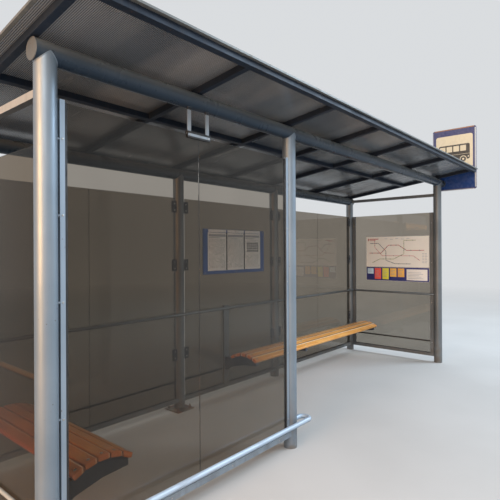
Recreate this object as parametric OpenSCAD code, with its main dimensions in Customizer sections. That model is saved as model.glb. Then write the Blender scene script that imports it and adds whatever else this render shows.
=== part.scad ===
// Open-fronted bus shelter: round steel posts, two round roof beams, a sheeted lean-to
// roof, tinted glass walls, two slatted benches, two boards and a flag sign.
// Millimetres, +Z up. The origin is on the ground under the front left post.

/* [Posts and beams] */
// Diameter of the round posts and of both roof beams
post_d = 108; // [89:1:130]
// Front left post to front middle post, axis to axis
glazed_bay = 2000; // [1600:10:2300]
// Front middle post to front right post, axis to axis
entrance_bay = 3600; // [3200:10:4000]
// Rear post behind the front middle post to the next rear post
bench_bay = 1580; // [1300:10:1700]
// Front post axis to rear post axis
frame_depth = 1380; // [1250:10:1550]
// Height of the front beam's axis
front_beam_z = 2555; // [2450:5:2700]
// How far each beam runs past the left posts' axes
beam_overrun = 64; // [60:1:90]
// How far each beam runs past the right posts' axes
beam_overrun_right = 55; // [54:1:90]
// Thickness of the discs that close the beams
cap_t = 3; // [2:0.5:6]
// Gap left at a close seat, such as a post's saddle
seat = 0.3; // [0.2:0.05:0.4]
// Side of the square base plates
base_side = 210; // [180:5:240]
// Thickness of the base plates
base_t = 10; // [8:1:16]
// Spacing of the anchor holes in a base plate
anchor_pitch = 150; // [140:1:160]
// Diameter of the anchor holes
anchor_d = 18; // [12:0.5:20]

/* [Roof] */
// Fall of the roof towards the rear, in degrees
roof_fall = 7.5; // [6:0.1:11]
// Side of the square rafters and purlins
rafter_side = 40; // [30:1:50]
// Left and right post axes out to the middle of the end rafters
end_rafter_out = 57; // [0:1:75]
// Front beam axis to the front face of the eave purlin, along the slope
eave_reach = 473; // [350:1:500]
// Front beam axis to the middle of the mid purlins, along the slope
mid_purlin_reach = 510; // [350:5:600]
// Rear beam axis to the rear face of the rear purlin, along the slope
rear_reach = 150; // [130:1:220]
// How far the sheets run past the eave and rear purlins
sheet_lip = 20; // [10:1:90]
// How far the sheets run past the left post's axis
verge_left = 148; // [110:1:200]
// How far the sheets run past the right post's axis
verge_right = 220; // [120:5:240]
// Thickness of the twin-wall roof sheets
sheet_t = 10; // [6:0.5:16]
// Gap between neighbouring sheets and at the ends of the trims
sheet_gap = 3; // [2:0.5:6]
// Width of the cover strips over the sheet joints
strip_w = 60; // [40:1:80]
// Thickness of the cover strips
strip_t = 3; // [2:0.5:5]
// Depth of the edge channels round the sheets
channel_depth = 18; // [15:1:35]
// Wall of the edge channels
channel_wall = 1.5; // [1:0.1:3]

/* [Glass] */
// Thickness of every glass pane
glass_t = 8; // [6:1:10]
// Clearance round a pane in its groove
glass_clear = 0.3; // [0.2:0.05:0.4]
// Gap between two panes that meet edge to edge
pane_gap = 4; // [3:0.5:8]
// Depth of the grooves that hold the panes
groove_depth = 12; // [8:1:14]
// Front beam's underside to the top of the front panes
front_glass_drop = 171; // [130:1:220]
// Side of the square sill rail under the front panes
front_sill_side = 40; // [30:1:50]
// Underside of the front sill rail
front_sill_z = 100; // [60:5:120]
// Front left post's axis to the joint between the front panes
front_joint_x = 980; // [900:5:1100]
// How far the front panes stand in front of the posts' axes
front_glass_set = 18; // [10:1:24]
// Rear beam's underside to the top of the rear and end panes
wall_glass_drop = 190; // [120:5:240]
// How far the rear panes stand in front of the rear posts' axes
rear_glass_set = 20; // [16:1:26]
// Gap between a rear pane and the post beside it
pane_edge_gap = 10; // [6:1:16]

/* [Front glazing] */
// Width of the grooved bars beside the posts
front_bar_w = 26; // [22:1:50]
// Depth of the grooved bars, front to rear
front_bar_depth = 24; // [20:1:30]
// Gap between a post and the grooved bar beside it
front_bar_gap = 2; // [1:0.5:10]
// How far a grooved bar runs past the top of the pane
front_bar_run = 12; // [8:1:20]
// Diameter of the spacers between bar and post
spacer_d = 14; // [10:1:20]
// Heights of the spacers on the bars beside the front panes
spacer_zs = [250, 780, 1350, 1775, 2150];
// First and last spacer on an end wall's bar, from the bar's ends
spacer_inset = 150; // [80:5:250]
// Width of the two straps that hang the panes from the beam
hanger_w = 30; // [20:1:40]
// Thickness of the straps
hanger_t = 6; // [4:1:10]
// Distance from the pane joint to the middle of a strap
hanger_reach = 78; // [60:1:90]
// Length of the grooved clip on top of the pane joint
clip_len = 190; // [180:1:260]
// Height of the clip
clip_h = 30; // [24:1:50]
// Depth of the clip, front to rear
clip_depth = 22; // [18:1:30]

/* [Bumper rail] */
// Diameter of the bumper rail
bumper_d = 38; // [30:1:80]
// Height of the rail's axis
bumper_z = 208; // [190:1:240]
// Distance of the rail's axis in front of the posts' axes
bumper_set = 95; // [90:1:120]
// Straight stub between the return bend and the post
bumper_stub = 65; // [25:1:80]

/* [End walls] */
// Width of the grooved bars beside the posts
end_bar_w = 50; // [40:1:60]
// Thickness of the grooved bars
end_bar_t = 20; // [16:1:24]
// Height of the top rails
end_top_rail_side = 40; // [30:1:50]
// Height of the bottom rails
end_sill_h = 40; // [40:1:70]
// Width of the bottom rails
end_sill_w = 40; // [30:1:50]
// Underside of the bottom rails
end_sill_z = 80; // [60:5:110]
// Height of the low rails' axes outside the end panes
end_low_rail_z = 285; // [220:5:300]

/* [Rear wall] */
// Diameter of the mid rails inside the panes
mid_rail_d = 30; // [20:1:40]
// Height of the mid rails' axes
mid_rail_z = 960; // [850:10:1000]
// How deep the rear mid rail is let into the posts
mid_rail_let = 3; // [2:1:8]
// Diameter of the low rails outside the panes
low_rail_d = 22; // [16:1:28]
// Gap between a rail and the pane beside it
rail_gap = 4; // [2:1:8]
// Height of the rear low rail's axis
rear_low_rail_z = 285; // [250:5:400]
// Side of the rear sill rails
rear_sill_side = 40; // [30:1:50]
// Underside of the rear sill rails
rear_sill_z = 80; // [60:5:110]
// Width of the upright and of the arm that carry the rear bench's ends
upright_w = 80; // [60:1:100]
// Thickness of the upright and of the arm
upright_t = 24; // [18:1:26]
// How far the upright rises past the mid rail's axis
upright_rise = 30; // [20:1:60]
// Width of a glass clamp
clamp_w = 50; // [40:1:60]
// Height of a glass clamp
clamp_h = 115; // [60:5:140]
// Thickness of a clamp's cheek on each side of the pane
clamp_cheek = 5; // [4:0.5:8]
// Mid rail down to the middle of the low clamps
clamp_low_drop = 400; // [300:10:450]
// Mid rail up to the middle of the high clamps
clamp_high_rise = 495; // [300:5:600]
// Top of the rear panes down to the middle of the top clamps
clamp_top_drop = 90; // [70:5:150]

/* [Benches] */
// Width of a seat slat
slat_w = 70; // [55:1:80]
// Thickness of a seat slat
slat_t = 30; // [22:1:36]
// Gap between slats
slat_gap = 9; // [5:1:14]
// Rounding of the slats' long edges
slat_round = 8; // [3:1:11]
// Number of slats in a seat
slat_count = 5; // [4:1:5]
// Radius of the seat's crowned top
seat_radius = 340; // [320:5:600]
// Height of the seat's crown
seat_z = 498; // [420:5:500]
// Rear post axis to the middle of the rear bench
rear_bench_set = 335; // [310:1:380]
// Front middle post's axis to the left end of the rear bench
rear_bench_start = 600; // [500:10:700]
// Front right post's axis to the right end of the rear bench
rear_bench_stop = 130; // [120:10:400]
// Left end of the rear bench to the middle of its end bracket
bracket_inset = 45; // [40:5:200]
// Right end of the rear bench to the middle of its end bracket
bracket_inset_right = 60; // [40:5:120]
// Width of the tapered brackets
bracket_w = 40; // [30:1:60]
// Middle of the seat to the tip of a bracket
bracket_reach = 160; // [120:5:170]
// Seat's crown down to a bracket's underside at the tip
bracket_tip_drop = 116; // [100:1:130]
// Seat's crown down to a bracket's underside at the middle of the seat
bracket_mid_drop = 125; // [115:1:150]
// Seat's crown down to a bracket's underside at the rear edge of the seat
bracket_heel_drop = 163; // [150:1:190]
// Seat's crown down to a bracket's underside at its root
bracket_root_drop = 222; // [200:1:260]
// Left post axis to the middle of the side bench
side_bench_set = 332; // [325:1:450]
// Front post axis to the near end of the side bench
side_bench_start = 45; // [30:5:200]
// Rear post axis to the far end of the side bench
side_bench_stop = 90; // [80:5:200]
// End of the side bench to the middle of its bracket
side_bracket_inset = 30; // [30:5:150]
// Side of the side bench's legs
leg_side = 40; // [30:1:50]

/* [Boards and sign] */
// Width of the timetable board
timetable_w = 1020; // [900:5:1100]
// Height of the timetable board
timetable_h = 490; // [480:2:600]
// Thickness of the timetable board
timetable_t = 12; // [8:1:16]
// Depth of the pockets for the sheets
pocket_depth = 3; // [1:0.5:5]
// Width of a timetable sheet
sheet_paper_w = 297; // [210:1:297]
// Number of sheets side by side on the timetable board
paper_count = 3; // [2:1:3]
// Height of a timetable sheet
sheet_paper_h = 420; // [297:1:420]
// Underside of the timetable board
timetable_z = 1344; // [1200:2:1400]
// Front middle post's axis to the middle of the timetable board
timetable_x = 820; // [700:5:850]
// Width of the route map and of the card strip under it
map_w = 970; // [800:5:1000]
// Height of the route map
map_h = 460; // [400:5:600]
// Height of the card strip
card_strip_h = 205; // [150:5:250]
// Thickness of the map and the card strip
map_t = 4; // [3:0.5:6]
// Gap between the map and the card strip
map_gap = 5; // [3:1:20]
// Underside of the card strip
map_z = 1128; // [1100:2:1160]
// Front post axis to the near edge of the map
map_y = 115; // [110:5:150]
// Width of the flag sign
sign_w = 592; // [450:2:650]
// Height of the flag sign
sign_h = 885; // [700:5:900]
// Thickness of the flag sign
sign_t = 20; // [10:1:30]
// Rounding of the sign's corners
sign_round = 28; // [10:1:40]
// Underside of the flag sign
sign_z = 2450; // [2400:5:2480]
// Middle of the sign in front of the posts' axes
sign_set = 161; // [120:1:200]
// Gap between the roof's verge and the sign
sign_gap = 12; // [8:1:30]
// Diameter of the spigot that carries the sign
spigot_d = 48; // [38:1:60]
// Diameter of the flange on the spigot
flange_d = 90; // [80:1:110]
// Thickness of the flange
flange_t = 8; // [5:1:10]

/* [Hidden] */

$fn = 48;
eps = 1;

// Plan of the posts
post_r = post_d / 2;
x_mid = glazed_bay;
x_bench = glazed_bay + bench_bay;
x_right = glazed_bay + entrance_bay;
y_rear = frame_depth;
beam_x0 = -beam_overrun;
beam_x1 = x_right + beam_overrun_right;
saddle_d = post_d + 2 * seat;

// Roof plane: both beams' axes lie on the sloping line v, w is square to it
rear_beam_v = frame_depth / cos(roof_fall);
rear_beam_z = front_beam_z - frame_depth * tan(roof_fall);
rafter_w = post_r + seat;
sheet_w = rafter_w + rafter_side + seat;
eave_v = -eave_reach - sheet_lip;
rear_v = rear_beam_v + rear_reach + sheet_lip;
rafter_xs = [
    -end_rafter_out, x_mid / 2, x_mid, (x_mid + x_bench) / 2,
    x_bench, (x_bench + x_right) / 2, x_right + end_rafter_out
];
sheet_edges = [-verge_left, rafter_xs[1], rafter_xs[3], rafter_xs[5], x_right + verge_right];
sheet_joints = [for (i = [1 : len(sheet_edges) - 2]) sheet_edges[i]];

// Glass lines
groove_w = glass_t + 2 * glass_clear;
front_sill_top = front_sill_z + front_sill_side;
front_glass_top = front_beam_z - post_r - front_glass_drop;
wall_glass_top = rear_beam_z - post_r - wall_glass_drop;
front_bar_x = post_r + front_bar_gap;
front_pane_x = front_bar_x + front_bar_w - groove_depth + glass_clear;
end_bar_y = post_r + front_bar_gap;
end_pane_y = end_bar_y + end_bar_w - groove_depth + glass_clear;
end_sill_top = end_sill_z + end_sill_h;
y_rear_glass = y_rear - rear_glass_set;
rear_sill_top = rear_sill_z + rear_sill_side;
rear_pane_gap = post_r + pane_edge_gap;
clamp_zs = [
    mid_rail_z - clamp_low_drop, mid_rail_z + clamp_high_rise, wall_glass_top - clamp_top_drop
];

// Rails against the glass and the posts
end_rail_set = glass_t / 2 + mid_rail_d / 2 + rail_gap;
end_low_rail_set = glass_t / 2 + low_rail_d / 2 + rail_gap;
rear_rail_y = y_rear - post_r - mid_rail_d / 2 + mid_rail_let;
rear_low_rail_y = y_rear_glass + glass_t / 2 + low_rail_d / 2 + rail_gap;
upright_y = rear_rail_y + mid_rail_d / 2 + seat;

// Benches
rear_bench_y = y_rear - rear_bench_set;
rear_bench_x0 = x_mid + rear_bench_start;
rear_bench_x1 = x_right - rear_bench_stop;
upright_x = rear_bench_x0 + bracket_inset;
arm_x = rear_bench_x1 - bracket_inset_right;
side_bench_y0 = side_bench_start;
side_bench_y1 = y_rear - side_bench_stop;
slat_step = 2 * asin((slat_w + slat_gap) / (2 * seat_radius));
seat_axis_z = seat_z - seat_radius;
slat_under_r = seat_radius - slat_t;
bracket_top_z = seat_axis_z + sqrt(pow(slat_under_r, 2) - pow(bracket_reach, 2));
leg_x = end_sill_w / 2 + seat + leg_side;

// Boards and sign
sign_back_x = x_right + verge_right + channel_wall + glass_clear + sign_gap;
spigot_x = beam_x1 + cap_t;

module along_x(d, x0, x1, y, z) {
    translate([x0, y, z])
        rotate([0, 90, 0])
            cylinder(d = d, h = x1 - x0);
}

module along_y(d, x, y0, y1, z) {
    translate([x, y0, z])
        rotate([-90, 0, 0])
            cylinder(d = d, h = y1 - y0);
}

// Puts its children on the roof's slope, with the front beam's axis at the origin
module on_slope() {
    translate([0, 0, front_beam_z])
        rotate([-roof_fall, 0, 0])
            children();
}

// A box from one corner to the other
module block(low, high) {
    translate(low)
        cube(high - low);
}

// A post of full height, used to cut saddles at its sides
module post_cut(x, y) {
    translate([x, y, -eps])
        cylinder(r = post_r + seat, h = front_beam_z);
}

module front_beam_cut() {
    along_x(saddle_d, beam_x0 - post_r, beam_x1 + post_r, 0, front_beam_z);
}

module rear_beam_cut() {
    along_x(saddle_d, beam_x0 - post_r, beam_x1 + post_r, y_rear, rear_beam_z);
}

// Post cut to a saddle under its beam
module front_post(x) {
    color([0.60, 0.63, 0.65])
        difference() {
            translate([x, 0, 0])
                cylinder(r = post_r, h = front_beam_z);
            front_beam_cut();
        }
}

module rear_post(x, foot_z) {
    color([0.45, 0.48, 0.52])
        difference() {
            translate([x, y_rear, foot_z])
                cylinder(r = post_r, h = rear_beam_z - foot_z);
            rear_beam_cut();
        }
}

module base_plate(x) {
    translate([x, y_rear, 0])
        difference() {
            translate([-base_side / 2, -base_side / 2, 0])
                cube([base_side, base_side, base_t]);
            for (sx = [-1, 1], sy = [-1, 1])
                translate([sx * anchor_pitch / 2, sy * anchor_pitch / 2, -eps])
                    cylinder(d = anchor_d, h = base_t + 2 * eps);
        }
}

module rear_base_plates() {
    color([0.40, 0.40, 0.40])
        for (x = [0, x_mid])
            base_plate(x);
}

module front_beam() {
    color([0.26, 0.29, 0.33])
        along_x(post_d, beam_x0, beam_x1, 0, front_beam_z);
}

module rear_beam() {
    color([0.26, 0.29, 0.33])
        along_x(post_d, beam_x0, beam_x1, y_rear, rear_beam_z);
}

module beam_end_caps() {
    color([0.60, 0.59, 0.56])
        for (yz = [[0, front_beam_z], [y_rear, rear_beam_z]]) {
            along_x(post_d, beam_x0 - cap_t, beam_x0, yz[0], yz[1]);
            along_x(post_d, beam_x1, beam_x1 + cap_t, yz[0], yz[1]);
        }
}

module rafters() {
    color([0.16, 0.18, 0.22])
        on_slope()
            for (x = rafter_xs)
                block(
                    [x - rafter_side / 2, -eave_reach + rafter_side, rafter_w],
                    [x + rafter_side / 2, rear_beam_v + rear_reach - rafter_side,
                        rafter_w + rafter_side]
                );
}

// Purlin that runs the whole length of the roof, its front face at v
module long_purlin(v) {
    color([0.16, 0.18, 0.22])
        on_slope()
            block(
                [-verge_left + rafter_side / 2, v, rafter_w],
                [x_right + verge_right - rafter_side / 2, v + rafter_side, rafter_w + rafter_side]
            );
}

module mid_purlins() {
    color([0.16, 0.18, 0.22])
        on_slope()
            for (i = [0 : len(rafter_xs) - 2])
                block(
                    [rafter_xs[i] + rafter_side / 2, mid_purlin_reach - rafter_side / 2, rafter_w],
                    [rafter_xs[i + 1] - rafter_side / 2, mid_purlin_reach + rafter_side / 2,
                        rafter_w + rafter_side]
                );
}

module roof_sheet(i) {
    left = sheet_edges[i] + (i == 0 ? 0 : sheet_gap / 2);
    right = sheet_edges[i + 1] - (i == len(sheet_joints) ? 0 : sheet_gap / 2);
    color([0.42, 0.42, 0.42])
        on_slope()
            block([left, eave_v, sheet_w], [right, rear_v, sheet_w + sheet_t]);
}

// Flat cover strips over the joints, clear of the edge channels
module sheet_joint_strips() {
    top = sheet_w + sheet_t;
    color([0.70, 0.71, 0.72])
        on_slope()
            for (x = sheet_joints)
                block(
                    [x - strip_w / 2, eave_v + channel_depth + sheet_gap, top],
                    [x + strip_w / 2, rear_v - channel_depth - sheet_gap, top + strip_t]
                );
}

// Channel round a sheet's edge, opening towards +X
module channel_profile() {
    inner = sheet_t + 2 * glass_clear;
    outer = inner + 2 * channel_wall;
    translate([-channel_wall - glass_clear, -outer / 2])
        difference() {
            square([channel_depth, outer]);
            translate([channel_wall, channel_wall])
                square([channel_depth, inner]);
        }
}

module sheet_edge_channels() {
    mid = sheet_w + sheet_t / 2;
    x0 = -verge_left - channel_wall - glass_clear;
    x1 = x_right + verge_right + channel_wall + glass_clear;
    v0 = eave_v + channel_depth;
    v1 = rear_v - channel_depth;
    color([0.62, 0.64, 0.66])
        on_slope() {
            translate([x0, eave_v, mid])
                rotate([90, 0, 90])
                    linear_extrude(height = x1 - x0)
                        channel_profile();
            translate([x1, rear_v, mid])
                rotate([90, 0, -90])
                    linear_extrude(height = x1 - x0)
                        channel_profile();
            translate([-verge_left, v1, mid])
                rotate([90, 0, 0])
                    linear_extrude(height = v1 - v0)
                        channel_profile();
            translate([x_right + verge_right, v0, mid])
                rotate([90, 0, 180])
                    linear_extrude(height = v1 - v0)
                        channel_profile();
        }
}

module front_glass() {
    y = -front_glass_set;
    color([0.30, 0.26, 0.22, 0.5])
        for (span = [
            [front_pane_x, front_joint_x - pane_gap / 2],
            [front_joint_x + pane_gap / 2, x_mid - front_pane_x]
        ])
            block(
                [span[0], y - glass_t / 2, front_sill_top],
                [span[1], y + glass_t / 2, front_glass_top]
            );
}

// Upright bar with a groove on its +X side for a pane's edge
module grooved_bar(w, depth, h) {
    linear_extrude(height = h)
        difference() {
            translate([0, -depth / 2])
                square([w, depth]);
            translate([w - groove_depth, -groove_w / 2])
                square([groove_depth + eps, groove_w]);
        }
}

// Grooved bar with its spacers, on the sill rail beside the post at the origin
module front_bar() {
    translate([front_bar_x, -front_glass_set, front_sill_top])
        grooved_bar(
            front_bar_w, front_bar_depth, front_glass_top + front_bar_run - front_sill_top
        );
    difference() {
        for (z = spacer_zs)
            along_x(spacer_d, 0, front_bar_x + eps, -front_glass_set, z);
        post_cut(0, 0);
    }
}

module front_glazing_bars() {
    color([0.55, 0.60, 0.65]) {
        front_bar();
        translate([x_mid, 0, 0])
            mirror([1, 0, 0])
                front_bar();
    }
}

module front_sill() {
    half = front_sill_side / 2;
    color([0.45, 0.50, 0.55])
        difference() {
            block([0, -front_glass_set - half, front_sill_z],
                [x_mid, -front_glass_set + half, front_sill_top]);
            post_cut(0, 0);
            post_cut(x_mid, 0);
        }
}

// Grooved clip over the pane joint, hung from the beam by two straps
module glass_hangers() {
    y = -front_glass_set;
    roof = front_glass_top + glass_clear;
    color([0.35, 0.38, 0.42])
        difference() {
            union() {
                block(
                    [front_joint_x - clip_len / 2, y - clip_depth / 2, roof - clip_h / 2],
                    [front_joint_x + clip_len / 2, y + clip_depth / 2, roof + clip_h / 2]
                );
                for (s = [-1, 1])
                    block(
                        [front_joint_x + s * hanger_reach - hanger_w / 2, y - hanger_t / 2, roof],
                        [front_joint_x + s * hanger_reach + hanger_w / 2, y + hanger_t / 2,
                            front_beam_z]
                    );
            }
            block(
                [front_joint_x - clip_len / 2 - eps, y - groove_w / 2, roof - clip_h],
                [front_joint_x + clip_len / 2 + eps, y + groove_w / 2, roof]
            );
            front_beam_cut();
        }
}

module bumper_rail() {
    reach = post_r + bumper_stub;
    color([0.66, 0.74, 0.80])
        along_x(bumper_d, -reach, x_mid + reach, -bumper_set, bumper_z);
}

// Return bend from the rail's end to the side of the post at the origin
module bumper_bend() {
    difference() {
        union() {
            translate([post_r + bumper_stub, -bumper_set / 2, bumper_z])
                rotate([0, 0, -90])
                    rotate_extrude(angle = 180)
                        translate([bumper_set / 2, 0])
                            circle(d = bumper_d);
            along_x(bumper_d, 0, post_r + bumper_stub, 0, bumper_z);
        }
        post_cut(0, 0);
    }
}

module bumper_bends() {
    color([0.66, 0.74, 0.80]) {
        translate([x_mid, 0, 0])
            bumper_bend();
        mirror([1, 0, 0])
            bumper_bend();
    }
}

module end_glass() {
    color([0.30, 0.26, 0.22, 0.5])
        block(
            [-glass_t / 2, end_pane_y, end_sill_top],
            [glass_t / 2, y_rear - end_pane_y, wall_glass_top]
        );
}

module end_bars() {
    color([0.42, 0.45, 0.47])
        for (m = [0, 1])
            translate([0, m * y_rear, 0])
                mirror([0, m, 0])
                    difference() {
                        union() {
                            translate([0, end_bar_y, end_sill_top])
                                rotate([0, 0, 90])
                                    grooved_bar(end_bar_w, end_bar_t,
                                        wall_glass_top - end_sill_top);
                            for (z = [end_sill_top + spacer_inset, wall_glass_top - spacer_inset])
                                along_y(spacer_d, 0, 0, end_bar_y + eps, z);
                        }
                        post_cut(0, 0);
                    }
}

// Rails of an end wall whose inside faces +X
module end_rails() {
    half = end_top_rail_side / 2;
    color([0.30, 0.32, 0.36])
        difference() {
            union() {
                block(
                    [-half, 0, rear_beam_z - half],
                    [half, y_rear, rear_beam_z + half]
                );
                along_y(mid_rail_d, end_rail_set, 0, rear_rail_y, mid_rail_z);
                along_y(low_rail_d, -end_low_rail_set, 0, y_rear, end_low_rail_z);
                block(
                    [-end_sill_w / 2, 0, end_sill_z],
                    [end_sill_w / 2, y_rear, end_sill_top]
                );
            }
            post_cut(0, 0);
            post_cut(0, y_rear);
            rear_beam_cut();
            along_x(mid_rail_d + 2 * seat, -post_d, post_d, rear_rail_y, mid_rail_z);
        }
}

module at_right_end() {
    translate([x_right, 0, 0])
        mirror([1, 0, 0])
            children();
}

// Panes between neighbouring rear posts, the outer bays in two panes each
module rear_glass() {
    mid_left = x_mid / 2;
    mid_right = (x_bench + x_right) / 2;
    g = rear_pane_gap;
    p = pane_gap / 2;
    color([0.30, 0.26, 0.22, 0.5])
        for (span = [
            [g, mid_left - p], [mid_left + p, x_mid - g],
            [x_mid + g, x_bench - g],
            [x_bench + g, mid_right - p], [mid_right + p, x_right - g]
        ])
            block(
                [span[0], y_rear_glass - glass_t / 2, rear_sill_top],
                [span[1], y_rear_glass + glass_t / 2, wall_glass_top]
            );
}

module rear_rails() {
    color([0.42, 0.45, 0.48])
        difference() {
            union() {
                along_x(mid_rail_d, 0, x_right, rear_rail_y, mid_rail_z);
                along_x(low_rail_d, 0, x_right, rear_low_rail_y, rear_low_rail_z);
                block(
                    [0, y_rear_glass - rear_sill_side / 2, rear_sill_z],
                    [x_right, y_rear_glass + rear_sill_side / 2, rear_sill_top]
                );
            }
            for (x = [0, x_mid, x_bench, x_right])
                post_cut(x, y_rear);
        }
}

// Upright behind the left end of the rear bench, and an arm from the right post
module bench_supports() {
    color([0.35, 0.37, 0.40]) {
        block(
            [upright_x - upright_w / 2, upright_y, rear_sill_top],
            [upright_x + upright_w / 2, upright_y + upright_t, mid_rail_z + upright_rise]
        );
        difference() {
            block(
                [arm_x - bracket_w / 2, upright_y, seat_z - bracket_root_drop],
                [x_right, upright_y + upright_t, bracket_top_z]
            );
            post_cut(x_right, y_rear);
        }
    }
}

// Clamp that holds a rear pane's edge to the post at the origin, pane towards +X
module glass_clamp(z) {
    depth = glass_t + 2 * clamp_cheek;
    difference() {
        block(
            [0, -rear_glass_set - depth / 2, z - clamp_h / 2],
            [post_r + clamp_w, -rear_glass_set + depth / 2, z + clamp_h / 2]
        );
        block(
            [rear_pane_gap - glass_clear, -rear_glass_set - groove_w / 2, z - clamp_h],
            [post_r + clamp_w + eps, -rear_glass_set + groove_w / 2, z + clamp_h]
        );
        post_cut(0, 0);
    }
}

module glass_clamps() {
    color([0.12, 0.13, 0.15])
        for (z = clamp_zs) {
            for (x = [0, x_mid, x_bench])
                translate([x, y_rear, 0])
                    glass_clamp(z);
            for (x = [x_mid, x_bench, x_right])
                translate([x, y_rear, 0])
                    mirror([1, 0, 0])
                        glass_clamp(z);
        }
}

// Rounded section of a slat, its top edge at y = 0
module slat_profile() {
    r = slat_round;
    translate([-slat_w / 2, -slat_t]) {
        translate([r, 0])
            square([slat_w - 2 * r, slat_t]);
        translate([0, r])
            square([slat_w, slat_t - 2 * r]);
        for (x = [r, slat_w - r], y = [r, slat_t - r])
            translate([x, y])
                circle(r = r);
    }
}

// Crowned row of slats along +X, the middle of the seat at y = 0
module seat_slats(length) {
    color([0.80, 0.48, 0.20])
        for (i = [0 : slat_count - 1])
            translate([0, 0, seat_axis_z])
                rotate([(i - (slat_count - 1) / 2) * slat_step, 0, 0])
                    translate([0, 0, seat_radius])
                        rotate([90, 0, 90])
                            linear_extrude(height = length)
                                slat_profile();
}

// Tapered bracket under a seat, root towards +Y, its top cut to the seat's crown
module seat_bracket(root_u) {
    translate([-bracket_w / 2, 0, 0])
        rotate([90, 0, 90])
            linear_extrude(height = bracket_w) {
                intersection() {
                    polygon([
                        [-bracket_reach, seat_z],
                        [-bracket_reach, seat_z - bracket_tip_drop],
                        [0, seat_z - bracket_mid_drop],
                        [bracket_reach, seat_z - bracket_heel_drop],
                        [bracket_reach, seat_z]
                    ]);
                    translate([0, seat_axis_z])
                        circle(r = slat_under_r - seat);
                }
                polygon([
                    [0, seat_z - bracket_mid_drop],
                    [bracket_reach, seat_z - bracket_heel_drop],
                    [root_u, seat_z - bracket_root_drop],
                    [root_u, bracket_top_z - seat],
                    [0, bracket_top_z - seat]
                ]);
            }
}

module rear_bench_slats() {
    translate([rear_bench_x0, rear_bench_y, 0])
        seat_slats(rear_bench_x1 - rear_bench_x0);
}

module rear_bench_brackets() {
    color([0.20, 0.23, 0.27]) {
        for (x = [upright_x, arm_x])
            translate([x, rear_bench_y, 0])
                seat_bracket(upright_y - rear_bench_y - seat);
        difference() {
            translate([x_bench, rear_bench_y, 0])
                seat_bracket(rear_bench_set - post_r / 2);
            post_cut(x_bench, y_rear);
        }
    }
}

module side_bench_slats() {
    translate([side_bench_set, side_bench_y0, 0])
        rotate([0, 0, 90])
            seat_slats(side_bench_y1 - side_bench_y0);
}

// Two brackets, each against a leg that stands on the ground
module side_bench_brackets() {
    root_u = side_bench_set - leg_x;
    color([0.24, 0.30, 0.36])
        for (y = [side_bench_y0 + side_bracket_inset, side_bench_y1 - side_bracket_inset])
            translate([side_bench_set, y, 0]) {
                rotate([0, 0, 90])
                    seat_bracket(root_u - seat);
                block(
                    [-root_u - leg_side, -leg_side / 2, 0],
                    [-root_u, leg_side / 2, bracket_top_z]
                );
            }
}

// Backing board with a pocket for three sheets, on the inside of the rear glass
module timetable_board() {
    back = y_rear_glass - glass_t / 2;
    x0 = x_mid + timetable_x - timetable_w / 2;
    papers_w = paper_count * sheet_paper_w;
    paper_x = x0 + (timetable_w - papers_w) / 2;
    paper_z = timetable_z + (timetable_h - sheet_paper_h) / 2;
    color([0.16, 0.26, 0.50])
        difference() {
            block(
                [x0, back - timetable_t, timetable_z],
                [x0 + timetable_w, back, timetable_z + timetable_h]
            );
            block(
                [paper_x, back - timetable_t - eps, paper_z],
                [paper_x + papers_w, back - timetable_t + pocket_depth, paper_z + sheet_paper_h]
            );
        }
}

// Route map above a strip of cards, on the inside of the right end glass
module map_board() {
    x1 = x_right - glass_t / 2;
    low = map_z + card_strip_h + map_gap;
    color([0.86, 0.84, 0.80]) {
        block([x1 - map_t, map_y, map_z], [x1, map_y + map_w, map_z + card_strip_h]);
        block([x1 - map_t, map_y, low], [x1, map_y + map_w, low + map_h]);
    }
}

// Flag sign square to the front, just past the verge
module stop_sign() {
    r = sign_round;
    color([0.20, 0.22, 0.45])
        translate([sign_back_x + seat, -sign_set - sign_w / 2, sign_z])
            rotate([90, 0, 90])
                linear_extrude(height = sign_t) {
                    translate([r, 0])
                        square([sign_w - 2 * r, sign_h]);
                    translate([0, r])
                        square([sign_w, sign_h - 2 * r]);
                    for (x = [r, sign_w - r], y = [r, sign_h - r])
                        translate([x, y])
                            circle(r = r);
                }
}

// Spigot from the beam's end, with a round flange against the sign
module sign_bracket() {
    color([0.35, 0.38, 0.42]) {
        along_x(spigot_d, spigot_x, sign_back_x, 0, front_beam_z);
        along_x(flange_d, sign_back_x - flange_t, sign_back_x, 0, front_beam_z);
    }
}

front_post(0);  // front_post_left
front_post(x_mid);  // front_post_middle
front_post(x_right);  // front_post_right
rear_post(0, base_t);  // rear_post_left
rear_post(x_mid, base_t);  // rear_post_inner
rear_post(x_bench, 0);  // rear_post_bench
rear_post(x_right, 0);  // rear_post_right
rear_base_plates();
front_beam();
rear_beam();
beam_end_caps();
rafters();
long_purlin(-eave_reach);  // eave_purlin
mid_purlins();
long_purlin(rear_beam_v + rear_reach - rafter_side);  // rear_purlin
roof_sheet(0);  // roof_sheet_1
roof_sheet(1);  // roof_sheet_2
roof_sheet(2);  // roof_sheet_3
roof_sheet(3);  // roof_sheet_4
sheet_joint_strips();
sheet_edge_channels();
front_glass();
front_glazing_bars();
front_sill();
glass_hangers();
bumper_rail();
bumper_bends();
end_glass();  // left_end_glass
end_bars();  // left_end_bars
end_rails();  // left_end_rails
at_right_end() end_glass();  // right_end_glass
at_right_end() end_bars();  // right_end_bars
at_right_end() end_rails();  // right_end_rails
rear_glass();
rear_rails();
bench_supports();
glass_clamps();
rear_bench_slats();
rear_bench_brackets();
side_bench_slats();
side_bench_brackets();
timetable_board();
map_board();
stop_sign();
sign_bracket();
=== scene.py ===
import random
from math import cos, pi, radians, sin, sqrt, tau

import bmesh
import bpy
from mathutils import Matrix, Vector


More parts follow.
